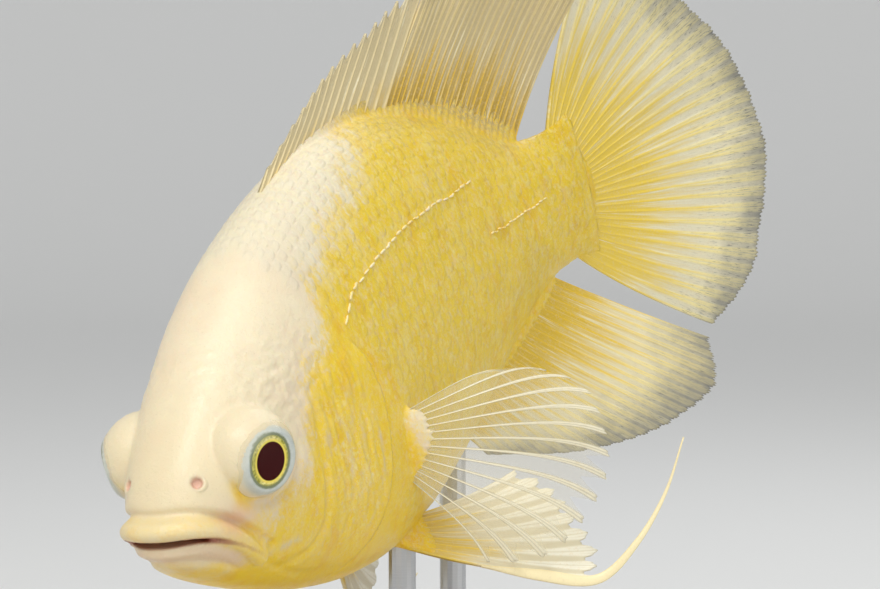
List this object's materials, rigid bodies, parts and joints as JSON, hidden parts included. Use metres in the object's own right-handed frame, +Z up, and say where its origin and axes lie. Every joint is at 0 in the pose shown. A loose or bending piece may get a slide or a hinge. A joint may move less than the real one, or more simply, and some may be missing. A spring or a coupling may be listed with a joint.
{
  "type": "oscar fish model on a display stand",
  "caption": "Life-size still model of a deep-bodied cichlid swimming nose-down with open fins, held by short rods on a flat rounded base.",
  "frame": {"origin": "centre of the underside of the stand's base, on the surface it stands on", "axes": "+Z up; -X the way the fish heads, before its nose-down tilt and the bend of its tail; -Y the side its left flank faces"},
  "size_m": [0.2259, 0.1146, 0.2176],
  "materials": {
    "skin": "wet scaled skin, lemon yellow mottled with white and orange",
    "head_skin": "smooth wet skin, cream on the forehead and yellow on the cheeks",
    "lip": "smooth moist lips, cream above and pinkish below",
    "eye": "clear wet eye with a yellow-green iris and a dark maroon pupil",
    "fin": "thin translucent rayed fin, yellow at the root and smoky at the edge",
    "paired_fin": "thin clear fin membrane with pale rays",
    "stand_base": "satin oiled oak",
    "stand_rod": "brushed"
  },
  "bodies": {
    "root": {"head": "head_skin", "trunk": "skin", "tail_stalk": "skin", "upper_lip": "lip", "lower_lip": "lip", "eye_left": "eye", "eye_right": "eye", "gill_cover_left": "head_skin", "gill_cover_right": "head_skin", "dorsal_fin_spines": "fin", "dorsal_fin_rays": "fin", "anal_fin": "fin", "tail_fin": "fin", "pectoral_fin_left": "paired_fin", "pectoral_fin_right": "paired_fin", "pelvic_fin_left": "paired_fin", "pelvic_fin_right": "paired_fin", "pelvic_filament_left": "paired_fin", "pelvic_filament_right": "paired_fin", "stand_base": "stand_base", "stand_rod_front": "stand_rod", "stand_rod_rear": "stand_rod"}
  },
  "joints": []
}
